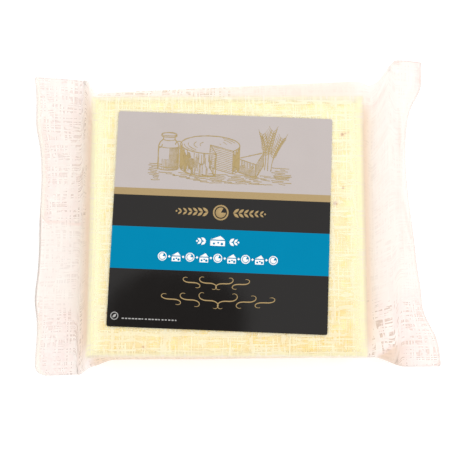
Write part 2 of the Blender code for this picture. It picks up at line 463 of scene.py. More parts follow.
def curve_value(knots, share):
    """Read a smooth curve through equally spaced knots at a share of its length, 0 to 1."""
    spans = len(knots) - 1
    place = min(max(share, 0.0), 1.0) * spans
    index = min(int(place), spans - 1)
    local = place - index
    start = knots[index]
    end = knots[index + 1]
    before = knots[index - 1] if index > 0 else 2.0 * start - end
    after = knots[index + 2] if index + 2 <= spans else 2.0 * end - start
    slope_in = (end - before) / 2.0
    slope_out = (after - start) / 2.0
    square = local * local
    cube = square * local
    return (
        start * (2.0 * cube - 3.0 * square + 1.0)
        + slope_in * (cube - 2.0 * square + local)
        + end * (3.0 * square - 2.0 * cube)
        + slope_out * (cube - square)
    )


def folds(first, second, seed):
    """Smooth noise between about -1 and 1."""
    return noise.noise(Vector((first, second, seed)))


def girth_length():
    """The film's length from the middle of the top to mid-height on the side, on the block."""
    return HALF_WIDTH + HALF_HEIGHT - EDGE_RADIUS * (2.0 - math.pi / 2.0)


def way_round(girth, flat, edge, side, left):
    """How far round a section's upper half a point lies.

    While enough of the block's height is left, the point stays on the part of the section, top, edge
    or side, that it has on the block. Towards the fin the points spread evenly.
    """
    share = abs(girth)
    length = girth_length()
    flat_share = (HALF_WIDTH - EDGE_RADIUS) / length
    edge_share = flat_share + EDGE_RADIUS * math.pi / 2.0 / length
    if share <= flat_share:
        kept = flat * share / flat_share
    elif share <= edge_share:
        kept = flat + edge * (share - flat_share) / (edge_share - flat_share)
    else:
        kept = flat + edge + side * (share - edge_share) / (1.0 - edge_share)
    return mix(share * (flat + edge + side), kept, smooth_step(COLUMN_HOLD * left))


def section_point(girth, half_width, half_height, top_height, left):
    """A point of the upper half of a section: flat top, rounded edge, then down to mid-height."""
    radius = min(EDGE_RADIUS, half_height)
    flat = half_width - radius
    edge = radius * math.pi / 2.0
    side = half_height - radius
    travelled = way_round(girth, flat, edge, side, left)
    if travelled <= flat:
        across = travelled
        height = top_height
    elif travelled <= flat + edge:
        angle = (travelled - flat) / radius
        across = flat + radius * math.sin(angle)
        height = half_height - radius * (1.0 - math.cos(angle))
    else:
        across = half_width
        height = side - (travelled - flat - edge)
    return math.copysign(across, girth), max(height, LAYER_GAP / 2.0)


def fall(distance, length):
    """How much of the block's height is left at a distance into a shoulder of the given length."""
    share = min(max(distance / length, 0.0), 1.0)
    return 1.0 - smooth_step(share ** SHOULDER_HOLD)


def bulge(girth, along):
    """How far the film stands off the side that girth is on, at mid-height."""
    knots = FAR_BULGES if girth > 0.0 else NEAR_BULGES
    return curve_value(knots, (along / HALF_LENGTH + 1.0) / 2.0)


def tube_point(end, along, girth, side):
    """A point of the film between the fins, along metres from the middle towards an end."""
    distance = along - (HALF_LENGTH - SHOULDER_START)
    corner_left = fall(distance, end.ear_length)
    middle_left = fall(distance, SHOULDER_LENGTH)
    ear = rise(abs(girth), EAR_START, EAR_END)
    top_left = mix(middle_left, corner_left, ear)
    thin = LAYER_GAP / 2.0
    spread = rise(along, *end.spread)
    half_height = mix(thin, HALF_HEIGHT, corner_left)
    half_width = mix(HALF_WIDTH, end.half_width, spread)
    top_height = mix(thin, HALF_HEIGHT, top_left)
    across, height = section_point(girth, half_width, half_height, top_height, corner_left)
    roundness = max(0.0, 1.0 - (height / half_height) ** 2)
    off_side = bulge(girth, end.direction * along) * corner_left ** 2 * roundness
    if abs(across) > half_width - EDGE_RADIUS:
        across += math.copysign(off_side, girth)
    return end.direction * along, across + end.shift * spread, HALF_HEIGHT + side * height


def round_corner(radius, distance):
    """How far a round corner cuts an edge back, at a distance from the straight side beside it."""
    inside = max(radius - distance, 0.0)
    return radius - math.sqrt(radius * radius - inside * inside)


def fin_edge(end, girth):
    """How far along X a fin reaches from the pack's middle."""
    outer = HALF_LENGTH + curve_value(end.reaches, (1.0 - girth) / 2.0)
    for radius, beside in zip(end.corners, (1.0 - girth, 1.0 + girth)):
        outer -= round_corner(radius, beside * end.half_width)
    return outer


def fin_point(end, share, girth, side):
    """A point of a fin, at a share of the way from its root to its outer edge."""
    root = HALF_LENGTH - SHOULDER_START + end.ear_length
    edge_share = (1.0 - girth) / 2.0
    outer = fin_edge(end, girth)
    if side > 0:
        outer -= curve_value(end.steps, edge_share)
    along = mix(root, outer, share)
    flare = end.flares[0 if girth > 0.0 else 1] * share
    across = girth * (end.half_width + flare * abs(girth)) + end.shift
    turn = 2.0 * math.pi * across / end.wavelength + end.phase
    lift = share * (end.wave * math.sin(turn) - end.droop * share)
    lift += BROAD_FOLD * share * folds(across / 0.011, along / 0.016, end.direction)
    lift += FINE_FOLD * folds(across / 0.0045, along / 0.0035, 3.0 + end.direction)
    return end.direction * along, across, HALF_HEIGHT + lift + side * LAYER_GAP / 2.0


class Value:
    """A number socket. Arithmetic on it adds Math nodes to its material."""

    def __init__(self, surface, socket):
        self.surface = surface
        self.socket = socket

    def math(self, operation, *others):
        return self.surface.math(operation, self, *others)

    def __add__(self, other):
        return self.math("ADD", other)

    def __sub__(self, other):
        return self.math("SUBTRACT", other)

    def __rsub__(self, other):
        return self.surface.math("SUBTRACT", other, self)

    def __mul__(self, other):
        return self.math("MULTIPLY", other)

    def __truediv__(self, other):
        return self.math("DIVIDE", other)

    __radd__ = __add__
    __rmul__ = __mul__


class Surface:
    """A material's nodes round one Principled shader."""

    def __init__(self, name):
        self.material = bpy.data.materials.new(name)
        self.material.use_nodes = True
        self.tree = self.material.node_tree
        self.shader = self.tree.nodes["Principled BSDF"]

    def plug(self, socket, value):
        """Give a socket a value or a link."""
        if isinstance(value, Value):
            value = value.socket
        if isinstance(value, bpy.types.NodeSocket):
            self.tree.links.new(value, socket)
        elif socket.type == "RGBA":
            socket.default_value = (*value[:3], 1.0)
        else:
            socket.default_value = value

    def node(self, kind, settings=None, sockets=None):
        """Add a node, with its settings first and then its sockets' values or links."""
        made = self.tree.nodes.new(kind)
        for name, value in (settings or {}).items():
            setattr(made, name, value)
        for name, value in (sockets or {}).items():
            self.plug(made.inputs[name], value)
        return made

    def math(self, operation, *values):
        made = self.node("ShaderNodeMath", {"operation": operation}, dict(enumerate(values)))
        return Value(self, made.outputs[0])

    def step(self, value, low, high):
        """0 below low, 1 above high and smooth between them."""
        made = self.node(
            "ShaderNodeMapRange",
            {"interpolation_type": "SMOOTHSTEP"},
            {"Value": value, "From Min": low, "From Max": high},
        )
        return Value(self, made.outputs["Result"])

    def blend(self, share, first, second):
        """Mix two colours."""
        made = self.node("ShaderNodeMix", {"data_type": "RGBA"})
        self.plug(made.inputs[0], share)
        self.plug(made.inputs[6], first)
        self.plug(made.inputs[7], second)
        return made.outputs[2]

    def vector(self, x, y, z=0.0):
        made = self.node("ShaderNodeCombineXYZ", None, {"X": x, "Y": y, "Z": z})
        return made.outputs[0]

    def place(self):
        """The three Object coordinates."""
        made = self.node("ShaderNodeTexCoord")
        split = self.node("ShaderNodeSeparateXYZ", None, {0: made.outputs["Object"]})
        return [Value(self, socket) for socket in split.outputs]

    def attribute(self, name):
        """A number written on the mesh."""
        made = self.node("ShaderNodeAttribute", {"attribute_name": name})
        return Value(self, made.outputs["Fac"])

    def attribute_vector(self, name):
        """The three numbers of a vector written on the mesh."""
        made = self.node("ShaderNodeAttribute", {"attribute_name": name})
        split = self.node("ShaderNodeSeparateXYZ", None, {0: made.outputs["Vector"]})
        return [Value(self, socket) for socket in split.outputs]

    def noise(self, vector, scale=1.0, detail=2.0, roughness=0.5):
        made = self.node(
            "ShaderNodeTexNoise",
            {"noise_dimensions": "3D"},
            {"Vector": vector, "Scale": scale, "Detail": detail, "Roughness": roughness},
        )
        return Value(self, made.outputs["Fac"])

    def bump(self, height, distance, strength=1.0):
        made = self.node(
            "ShaderNodeBump", None, {"Height": height, "Distance": distance, "Strength": strength}
        )
        self.plug(self.shader.inputs["Normal"], made.outputs[0])

    def shade(self, **sockets):
        """Set the shader's own sockets; an underscore stands for a space."""
        for name, value in sockets.items():
            self.plug(self.shader.inputs[name.replace("_", " ")], value)
        return self.material


def printed_film(settings):
    """Clear film printed all over with an uneven white weave."""
    surface = Surface("printed_film")
    along, girth, _ = surface.attribute_vector("threads")
    marks = Marks(*(surface.attribute(name) for name in Marks._fields))
    plain = marks.plain.math("MAXIMUM", marks.edge).math("MINIMUM", 1.0)
    thread = settings.thread
    run = settings.run

    def flat_noise(x, y, seed, detail=0.0):
        """Noise over a plane, with features about one unit wide."""
        return surface.noise(surface.vector(x, y, seed), 1.0, detail)

    def lines(first, second, seed, spacing, width):
        """Thin straight threads along the first direction, each broken into runs."""
        straight = flat_noise(first / THREAD_WANDER + seed, second / (thread * spacing), seed)
        broken = flat_noise(first / run, second / (thread * spacing * 0.7), seed + 7.0)
        off_middle = (straight - 0.5).math("ABSOLUTE")
        return surface.step(off_middle, width, width * 0.35) * surface.step(broken, *THREAD_LEVELS)

    def patches(first, second, seed, level):
        """Wider bands of ink where threads run together."""
        straight = flat_noise(seed, second / thread, seed)
        broken = flat_noise(first / run, second / thread, seed, 1.0)
        return surface.step(straight * 0.5 + broken * 0.5 - level, *PATCH_LEVELS)

    def soft_bands(first, second, seed):
        """Broad soft strips of thin ink along the first direction."""
        return surface.step(flat_noise(first / BAND_RUN, second / (thread * 2.4), seed, 1.0), *BAND_LEVELS)

    def gaps(first, second, seed, spacing, level):
        """The straight strips between threads that run along the first direction."""
        return surface.step(
            flat_noise(first / GAP_RUN, second / (thread * spacing), seed), level, level + GAP_SOFTNESS
        )

    def woven(draw, seeds, *values):
        """The stronger of what is drawn along the film and across it."""
        lengthways = draw(along, girth, seeds[0], *values)
        return lengthways.math("MAXIMUM", draw(girth, along, seeds[1], *values))

    crowding = flat_noise(along / CROWDING_SIZE, girth / CROWDING_SIZE, 5.0, 1.0)
    thin = woven(lines, *THREADS)
    fine = woven(lines, *FINE_THREADS)
    broad = woven(patches, (11.5, 12.5), PATCH_START - (crowding - 0.5) * PATCH_CROWDING)
    soft = woven(soft_bands, (31.0, 33.0))
    open_weave = thin
    for threads, held in ((fine, FINE_INK), (broad, PATCH_INK), (soft, BAND_INK)):
        open_weave = open_weave.math("MAXIMUM", threads * held)
    cluster = flat_noise(along / CLUSTER_SIZES[0], girth / CLUSTER_SIZES[1], 17.0, 2.0)
    holes = gaps(along, girth, 21.5, 0.46, 0.490) * gaps(girth, along, 22.5, 0.80, 0.445)
    holes = holes * surface.step(cluster, *CLUSTER_LEVELS)
    close_weave = 1.0 - holes * (1.0 - plain)
    ink = (open_weave + marks.fin * (close_weave - open_weave)) * marks.printed
    wash = flat_noise(along / WASH_SIZES[0], girth / WASH_SIZES[1], 9.0, 1.0)
    pinkness = surface.step(wash, *WASH_LEVELS) * (0.7 - plain * 0.45) + marks.blush
    fin_ink = surface.blend(pinkness.math("MINIMUM", 1.0), settings.fin_ink, settings.fin_pink)
    fin_ink = surface.blend(thin * 0.5, fin_ink, settings.thread_tone)
    bare = settings.clear + marks.fin * (settings.haze - settings.clear) * (marks.printed * 0.3 + 0.7)
    cover = settings.cover + marks.fin * (settings.fin_cover - settings.cover)
    alpha = bare + ink * (cover - bare)
    alpha = alpha + marks.rim * (settings.rim_cover - alpha)
    alpha = alpha + marks.edge * (settings.edge_cover - alpha)
    # Painted shade darkens the gaps between threads
    gap = surface.blend(marks.dots, settings.bare, settings.dot)
    gap = surface.blend(marks.printed, settings.margin, gap)
    tone = surface.blend(ink, gap, surface.blend(marks.fin, settings.ink, fin_ink))
    for share, over in (
        # painted glow along the cheese's outline
        (marks.edge * (1.0 - thin * 0.8), settings.lemon_glow),
        # painted shade where the film dives past the block
        (marks.valley, settings.valley_shade_tone),
        # painted shadow on tucked film
        (marks.tuck, settings.tucked),
        # painted shade along folds
        (marks.crease, settings.crease),
        (marks.rim, settings.rim),
    ):
        tone = surface.blend(share, tone, over)
    surface.bump(ink, INK_RELIEF, 0.3)
    return surface.shade(Base_Color=tone, Roughness=settings.gloss, Alpha=alpha, IOR=1.5)


def cheddar(settings):
    """Pale firm cheese: finely mottled, with brown specks, and paler at the block's ends with a painted
    glow.
    """
    surface = Surface("cheddar")
    x, y, z = surface.place()
    place = surface.vector(x, y, z)
    mottle = surface.noise(place, MOTTLE_SCALE, 4.0, 0.6)
    grain = surface.noise(place, GRAIN_SCALE, 3.0, 0.6)
    # Painted glow: paler towards the block's ends
    end = surface.step(x.math("ABSOLUTE"), *(HALF_LENGTH - inset for inset in PALE_END))
    deepness = surface.step(mottle, *MOTTLE_LEVELS) * 0.55 + surface.step(y, *DEEP_SIDE) * 0.55
    body = surface.blend(deepness, settings.body, settings.deep)
    spotted = 0.0
    for (spot_x, spot_y), radius in SPECKS:
        apart = ((x - spot_x) * (x - spot_x) + (y - spot_y) * (y - spot_y)).math("SQRT")
        spotted = surface.step(apart, radius * 1.4, radius * 0.4) + spotted
    body = surface.blend(spotted * 0.95, body, settings.speck)
    surface.bump(mottle * 0.8 + grain * 0.2, CHEESE_RELIEF, 0.15)
    return surface.shade(Base_Color=surface.blend(end, body, settings.edge), Roughness=0.42)


def coated_paper(name, tone, roughness=0.34, metallic=0.0, shine=0.25):
    """Coated paper printed in one ink, half gloss unless told otherwise, with a fine grain."""
    surface = Surface(name)
    x, y, z = surface.place()
    grain = surface.noise(surface.vector(x, y, z), PAPER_GRAIN, 2.0)
    cloud = surface.noise(surface.vector(x, y, z), PAPER_CLOUD, 2.0)
    worn = (grain - 0.5) * 0.10 + (cloud - 0.5) * 0.06 + 1.0
    made = surface.node("ShaderNodeVectorMath", {"operation": "SCALE"}, {0: tone[:3], "Scale": worn})
    surface.bump(grain, PAPER_RELIEF, 0.3)
    return surface.shade(
        Base_Color=made.outputs[0],
        Roughness=roughness + (cloud - 0.5) * 0.10,
        Metallic=metallic,
        Specular_IOR_Level=shine,
    )


def floor_finish(settings):
    """White floor that sends a little light back up."""
    surface = Surface("white_floor")
    x, y, z = surface.place()
    grain = surface.noise(surface.vector(x, y, z), 40.0, 2.0)
    tone = surface.blend(grain, *((grey,) * 3 for grey in FLOOR_TONES))
    return surface.shade(
        Base_Color=tone,
        Roughness=0.9,
        Emission_Color=(1.0, 1.0, 1.0),
        Emission_Strength=settings.glow,
    )


def link_piece(name, data):
    """Put finished mesh data into the scene."""
    piece = bpy.data.objects.new(name, data)
    bpy.context.scene.collection.objects.link(piece)
    return piece


def mesh_piece(name, mesh, materials, smooth=True):
    """Turn a finished bmesh into an object."""
    data = bpy.data.meshes.new(name)
    mesh.to_mesh(data)
    mesh.free()
    for material in materials:
        data.materials.append(material)
    if smooth:
        data.shade_smooth()
    return link_piece(name, data)


def on_label(mesh, scale=1.0):
    """Move a mesh drawn about the label's middle to its place on the label."""
    place = Matrix.Translation((LABEL_CENTRE.x, LABEL_CENTRE.y, LABEL_HIGH.z))
    mesh.transform(place @ Matrix.Rotation(LABEL_TURN, 4, "Z") @ Matrix.Diagonal((scale, scale, scale, 1.0)))


def arc(centre, radii, start, end, steps=24):
    """Points of an ellipse's arc between two angles in degrees."""
    angles = [math.radians(mix(start, end, step / steps)) for step in range(steps + 1)]
    return [
        (centre[0] + radii[0] * math.cos(angle), centre[1] + radii[1] * math.sin(angle))
        for angle in angles
    ]


def circle(centre, radius, steps=28):
    """A closed outline's points."""
    return arc(centre, (radius, radius), 0.0, 360.0, steps)[:-1]


def turned(points, base, degrees=0.0, size=(1.0, 1.0)):
    """Scale, turn and move points."""
    angle = math.radians(degrees)
    cosine = math.cos(angle)
    sine = math.sin(angle)
    scaled = [(x * size[0], y * size[1]) for x, y in points]
    return [(base[0] + x * cosine - y * sine, base[1] + x * sine + y * cosine) for x, y in scaled]


def leaf(base, degrees, length, width, steps=8):
    """A pointed leaf's outline, growing from its base."""
    shares = [step / steps for step in range(steps + 1)]
    side = [(length * share, width / 2.0 * math.sin(math.pi * share)) for share in shares]
    return turned(side + [(x, -y) for x, y in reversed(side[1:-1])], base, degrees)


def diamond(centre, size):
    """A closed outline's points."""
    return turned([(-0.5, 0.0), (0.0, -0.5), (0.5, 0.0), (0.0, 0.5)], centre, 0.0, (size, size))


def scroll(centre, size, turns, steps=90):
    """An S-shaped curve that winds up at both ends, fitted to a width and a height."""
    points = [(0.0, 0.0)]
    for step in range(steps):
        share = 2.0 * (step + 0.5) / steps - 1.0
        heading = 2.0 * math.pi * turns * share * share
        x, y = points[-1]
        points.append((x + math.cos(heading), y + math.sin(heading)))
    xs = [x for x, _ in points]
    ys = [y for _, y in points]
    scale = (size[0] / (max(xs) - min(xs)), size[1] / (max(ys) - min(ys)))
    middle = ((max(xs) + min(xs)) / 2.0, (max(ys) + min(ys)) / 2.0)
    return [
        (centre[0] + (x - middle[0]) * scale[0], centre[1] + (y - middle[1]) * scale[1])
        for x, y in points
    ]


def inked(points, width, ends=0.35):
    """Give a line a half width at every point, thinner towards both ends."""
    last = len(points) - 1
    shares = [math.sin(math.pi * index / last) for index in range(last + 1)]
    return [(x, y, width / 2.0 * mix(ends, 1.0, share)) for (x, y), share in zip(points, shares)]


def sketched(points, width, wobble=0.09, pitch=0.9):
    """Draw a line by an unsteady hand: resampled, with small wanderings and changes of pressure."""
    drawn = []
    for (x, y), (next_x, next_y) in zip(points, points[1:]):
        steps = max(1, round(math.hypot(next_x - x, next_y - y) / pitch))
        drawn += [(mix(x, next_x, step / steps), mix(y, next_y, step / steps)) for step in range(steps)]
    drawn.append(points[-1])
    line = []
    for x, y in drawn:
        aside = (wobble * folds(x / 1.7, y / 1.7, 21.0), wobble * folds(x / 1.7, y / 1.7, 33.0))
        press = 1.0 + 0.5 * folds(x / 1.1, y / 1.1, 45.0)
        line.append((x + aside[0], y + aside[1], DRAWING_WEIGHT * width / 2.0 * press))
    return line


def curve_mesh(curve):
    """Turn curve data into a bmesh and drop the curve."""
    holder = bpy.data.objects.new("drawn", curve)
    data = bpy.data.meshes.new_from_object(holder)
    mesh = bmesh.new()
    mesh.from_mesh(data)
    bpy.data.objects.remove(holder)
    bpy.data.meshes.remove(data)
    bpy.data.curves.remove(curve)
    bmesh.ops.remove_doubles(mesh, verts=mesh.verts[:], dist=0.0001)
    return mesh


def stroke_mesh(strokes):
    """Lines of ink, each a list of points with half widths in millimetres, as low ridges."""
    curve = bpy.data.curves.new("strokes", "CURVE")
    curve.dimensions = "3D"
    curve.bevel_depth = 1.0
    curve.bevel_resolution = 1
    curve.use_fill_caps = True
    for points in strokes:
        spline = curve.splines.new("POLY")
        spline.points.add(len(points) - 1)
        for point, (x, y, radius) in zip(spline.points, points):
            point.co = (x, y, 0.0, 1.0)
            point.radius = radius
    mesh = curve_mesh(curve)
    bmesh.ops.scale(mesh, verts=mesh.verts[:], vec=(1.0, 1.0, INK_FLATNESS))
    return mesh


def shape_mesh(outlines):
    """Filled shapes of ink from closed outlines in millimetres; an outline inside another is a hole."""
    curve = bpy.data.curves.new("shapes", "CURVE")
    curve.dimensions = "2D"
    curve.fill_mode = "BOTH"
    curve.extrude = INK_THICKNESS / MM
    for outline in outlines:
        spline = curve.splines.new("POLY")
        spline.points.add(len(outline) - 1)
        spline.use_cyclic_u = True
        for point, (x, y) in zip(spline.points, outline):
            point.co = (x, y, 0.0, 1.0)
    return curve_mesh(curve)


def ink_piece(name, mesh, material):
    """Lay a mesh drawn in millimetres on the label."""
    on_label(mesh, MM)
    bmesh.ops.recalc_face_normals(mesh, faces=mesh.faces[:])
    return belongs(mesh_piece(name, mesh, [material]))


def drum_strokes(centre, radii, height, cut):
    """A drum of cheese with a wedge cut out, seen from a little above and hatched."""
    foot = (centre[0], centre[1] - height)
    first, last = cut
    rim = arc(centre, radii, last, first + 360.0, 60)
    strokes = [sketched(rim, 0.30)]
    strokes.append(sketched(arc(foot, radii, 180.0, first + 360.0, 24), 0.34))
    strokes.append(sketched(arc(foot, radii, last, 0.0, 12), 0.34))
    for degrees in (180.0, first, last, 0.0):
        top = arc(centre, radii, degrees, degrees, 1)[0]
        strokes.append(sketched([top, (top[0], top[1] - height)], 0.30))
    for degrees in cut:
        for level in (centre, foot):
            strokes.append(sketched([level, arc(level, radii, degrees, degrees, 1)[0]], 0.26))
    strokes.append(sketched([centre, foot], 0.26))
    ragged = random.Random(3)
    for degrees in range(184, 360, 2):
        if first < degrees - 360 < last:
            continue
        x, y = arc(centre, radii, degrees, degrees, 1)[0]
        shade = 0.35 + 0.6 * abs(math.cos(math.radians(degrees)))
        reach = height * shade * ragged.uniform(0.75, 1.05)
        start = ragged.uniform(0.0, height - min(reach, height))
        strokes.append(sketched([(x, y - start), (x, y - start - min(reach, height))], 0.20))
    for share in (0.35, 0.55, 0.75, 0.88):
        inner = (radii[0] * share, radii[1] * share)
        strokes.append(sketched(arc(centre, inner, 100.0 + 90.0 * share, 185.0 + 60.0 * share), 0.18))
        strokes.append(sketched(arc(centre, inner, 20.0 * share, 70.0 * share), 0.18))
    for row in range(12):
        level = centre[1] - height * (row + 0.7) / 12.5
        corner = arc((centre[0], level), radii, last, last, 1)[0]
        strokes.append(sketched([(centre[0] + 0.3, level), corner], 0.16))
    return strokes


def churn_strokes(x, foot, height, width):
    """A milk churn with a lid and two handles, hatched on its right side."""
    half = width / 2.0
    profile = (
        (1.0, 0.0), (1.0, 0.62), (0.86, 0.72), (0.58, 0.80), (0.55, 0.88), (0.74, 0.90), (0.74, 0.94)
    )
    strokes = []
    for side in (1.0, -1.0):
        strokes.append(sketched([(x + side * half * out, foot + height * up) for out, up in profile], 0.30))
    for up, out in ((0.0, 1.0), (0.08, 1.0), (0.62, 1.0), (0.80, 0.58), (0.90, 0.74), (0.94, 0.74)):
        level = (x, foot + height * up)
        strokes.append(sketched(arc(level, (half * out, half * out * 0.22), 180.0, 360.0, 12), 0.24))
    lid = (x, foot + height * 0.94)
    strokes.append(sketched(arc(lid, (half * 0.74, height * 0.05), 0.0, 180.0, 12), 0.28))
    for side in (-1.0, 1.0):
        place = (x + side * half * 0.98, foot + height * 0.66)
        handle = arc(place, (half * 0.34, height * 0.10), -90.0, 90.0 + 90.0 * side, 12)
        strokes.append(sketched(handle, 0.26))
    for step in range(17):
        out = mix(-0.95, 0.95, (step / 16.0) ** 0.6)
        dip = half * 0.22 * math.sqrt(1.0 - out * out)
        low = (x + half * out, foot - dip)
        high = (x + half * out, foot + height * (0.62 if step > 5 else 0.30) - dip)
        strokes.append(sketched([low, high], 0.18))
    return strokes


def wedge_strokes(tip, length, depth, height):
    """A cut wedge of cheese, lying on its flat side, with a few eyes."""
    back = (tip[0] + length, tip[1] + depth)
    near = (tip[0] + length * 0.72, tip[1] - depth * 0.8)
    upper = [(x, y + height) for x, y in (tip, back, near)]
    strokes = [sketched([upper[0], upper[1], upper[2], upper[0]], 0.28)]
    strokes.append(sketched([upper[0], tip, near, back, upper[1]], 0.30))
    strokes.append(sketched([upper[2], near], 0.28))
    for step in range(1, 20):
        share = step / 20.0
        low = (mix(tip[0], near[0], share), mix(tip[1], near[1], share))
        reach = height * (0.95 if step % 3 else 0.55)
        strokes.append(sketched([low, (low[0], low[1] + reach)], 0.16))
    for step in range(1, 6):
        share = step / 6.0
        low = (mix(near[0], back[0], share), mix(near[1], back[1], share))
        strokes.append(sketched([low, (low[0], low[1] + height * 0.9)], 0.20))
    for share, up in ((0.35, 0.6), (0.62, 0.35), (0.80, 0.70)):
        eye = (mix(tip[0], near[0], share), mix(tip[1], near[1], share) + height * up)
        strokes.append(sketched(circle(eye, 0.45, 12) + [(eye[0] + 0.45, eye[1])], 0.22))
    return strokes


def ear_strokes(foot, top, lean, grains=9):
    """An ear of barley: a bent stem with paired grains and long awns."""

    def on_stem(share):
        x = mix(foot[0], top[0], share) + lean * math.sin(math.pi * share)
        return x, mix(foot[1], top[1], share)

    strokes = [sketched([on_stem(step / 12.0) for step in range(13)], 0.24)]
    for index in range(grains):
        x, y = on_stem(mix(0.45, 1.0, index / (grains - 1.0)))
        for side in (-1.0, 1.0):
            grain = leaf((x, y), 90.0 - side * 32.0, 1.9, 0.75, 6)
            strokes.append(sketched(grain + grain[:1], 0.20, 0.03, 0.5))
            awn = (x + side * 1.7, y + 3.0)
            strokes.append(sketched([(x + side * 0.9, y + 1.5), awn], 0.12))
    return strokes


def ground_strokes():
    """Loose level strokes beside and under the things, longest at the sides."""
    ragged = random.Random(8)
    strokes = []
    for row in range(11):
        level = 20.6 - 0.60 * row
        for first, last in ((-28.0, -23.0), (17.5, 25.5)):
            start = ragged.uniform(first, mix(first, last, 0.45))
            end = ragged.uniform(mix(first, last, 0.6), last)
            strokes.append(sketched([(start, level), (end, level - 0.25)], 0.22, 0.25))
    for row in range(7):
        level = 17.4 - 0.52 * row
        start = -24.0 + 2.6 * row
        while start < 20.0 - 1.6 * row:
            end = start + ragged.uniform(3.0, 9.0)
            strokes.append(sketched([(start, level), (end, level - 0.2)], 0.22, 0.30))
            start = end + ragged.uniform(0.6, 2.4)
    return strokes


def drawing_strokes():
    """Still life for the silver band: churn, cut drum, wedge and ears on the ground."""
    strokes = churn_strokes(-20.6, 19.0, 13.6, 7.6)
    strokes += drum_strokes((-5.2, 28.4), (11.0, 3.4), 8.6, (-78.0, -38.0))
    strokes += wedge_strokes((5.2, 18.6), 9.6, 2.6, 5.0)
    strokes += ear_strokes((15.2, 19.6), (14.2, 32.0), 0.8)
    strokes += ear_strokes((16.4, 19.4), (18.2, 33.4), -0.6)
    strokes += ear_strokes((17.6, 19.2), (21.8, 30.6), -1.0)
    return strokes + ground_strokes()


def wheel_outlines(centre, radius):
    """A cheese wheel seen from above with a slice taken out: a ring and a cut disc."""
    disc = [centre] + arc(centre, (radius * 0.66, radius * 0.66), 60.0, 360.0, 24)
    return [circle(centre, radius), circle(centre, radius * 0.80), disc]


def wedge_outlines(centre, width, height):
    """A cheese wedge: a front with three eyes and a slanting top."""
    foot = (centre[0], centre[1] - height / 2.0)
    front = ((-0.5, 0.0), (0.5, 0.0), (0.5, 0.52), (-0.5, 0.52))
    top = ((-0.5, 0.62), (0.5, 0.62), (0.175, 1.0))
    outlines = [turned(shape, foot, 0.0, (width, height)) for shape in (front, top)]
    for out, up, size in ((-0.25, 0.22, 0.11), (0.04, 0.32, 0.09), (0.29, 0.20, 0.13)):
        outlines.append(circle((foot[0] + width * out, foot[1] + height * up), height * size, 14))
    return outlines


def laurel_outlines(start, end, pairs, length, width):
    """Paired leaves along a level stem, pointing towards its end."""
    outlines = []
    step = (end[0] - start[0]) / pairs
    for index in range(pairs):
        base = (start[0] + step * index, mix(start[1], end[1], index / pairs))
        size = mix(1.0, 0.62, index / pairs)
        facing = 0.0 if step > 0.0 else 180.0
        for side in (-38.0, 38.0):
            outlines.append(leaf(base, facing + side, length * size, width * size))
    outlines.append(circle(end, width * 0.35, 12))
    return outlines


def title_outlines(centre):
    """A wheel between two laurels, for the upper dark band."""
    x, y = centre
    outlines = wheel_outlines(centre, 2.9)
    for side in (-1.0, 1.0):
        outlines += laurel_outlines((x + side * 4.6, y), (x + side * 16.3, y), 6, 2.7, 1.05)
    return outlines


def upper_white_outlines(centre):
    """A wedge between two small leaves, for the blue band's upper row."""
    x, y = centre
    outlines = wedge_outlines(centre, 5.4, 3.7)
    for side in (-1.0, 1.0):
        outlines += laurel_outlines((x + side * 4.3, y - 0.3), (x + side * 7.6, y - 0.3), 2, 2.2, 1.0)
    return outlines


def lower_white_outlines(centre):
    """Wheels and wedges by turns with diamonds between, for the blue band's lower row."""
    pitch = 5.08
    outlines = []
    for index in range(-4, 5):
        place = (centre[0] + pitch * index, centre[1])
        outlines += wedge_outlines(place, 3.2, 3.4) if index % 2 else wheel_outlines(place, 1.65)
        if index < 4:
            outlines.append(diamond((place[0] + pitch / 2.0, place[1]), 1.0))
    return outlines


def flourish_strokes(centre, size, pairs, width):
    """Scrolls in mirrored pairs about a middle."""
    strokes = []
    step = size[0] / (2.0 * pairs)
    for index in range(pairs):
        for side in (-1.0, 1.0):
            place = step * (index + 0.5)
            points = scroll((0.0, 0.0), (step * 1.04, size[1] * (1.0 - 0.16 * index)), 0.62)
            points = [(centre[0] + side * (place + x), centre[1] + y) for x, y in points]
            strokes.append(inked(points, width))
    return strokes


def mark_outlines(centre, radius):
    """A small ring round a leaf."""
    x, y = centre
    outlines = [circle(centre, radius), circle(centre, radius * 0.80)]
    outlines.append(leaf((x - radius * 0.45, y - radius * 0.45), 45.0, radius * 1.3, radius * 0.6))
    return outlines


def dash_outlines(start, end, count, height):
    """A dashed rule of unequal dashes."""
    ragged = random.Random(5)
    pitch = (end - start[0]) / count
    outlines = []
    for index in range(count):
        x = start[0] + pitch * index
        length = pitch * ragged.uniform(0.45, 0.78)
        box = ((0.0, 0.0), (length, 0.0), (length, height), (0.0, height))
        outlines.append(turned(box, (x, start[1] - height / 2.0)))
    return outlines


def belongs(piece):
    """Every piece rides with the pack's one body."""
    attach(piece, "root")
    return piece


def rounded(place, half_size, radii):
    """Where a point on a box's surface lies once the box's edges are rounded off."""
    core = []
    past = []
    for value, half, radius in zip(place, half_size, radii):
        inner = half - radius
        core.append(min(max(value, -inner), inner))
        past.append((value - core[-1]) / radius)
    reach = Vector(past).length
    return Vector([middle + radius * part / reach for middle, radius, part in zip(core, radii, past)])


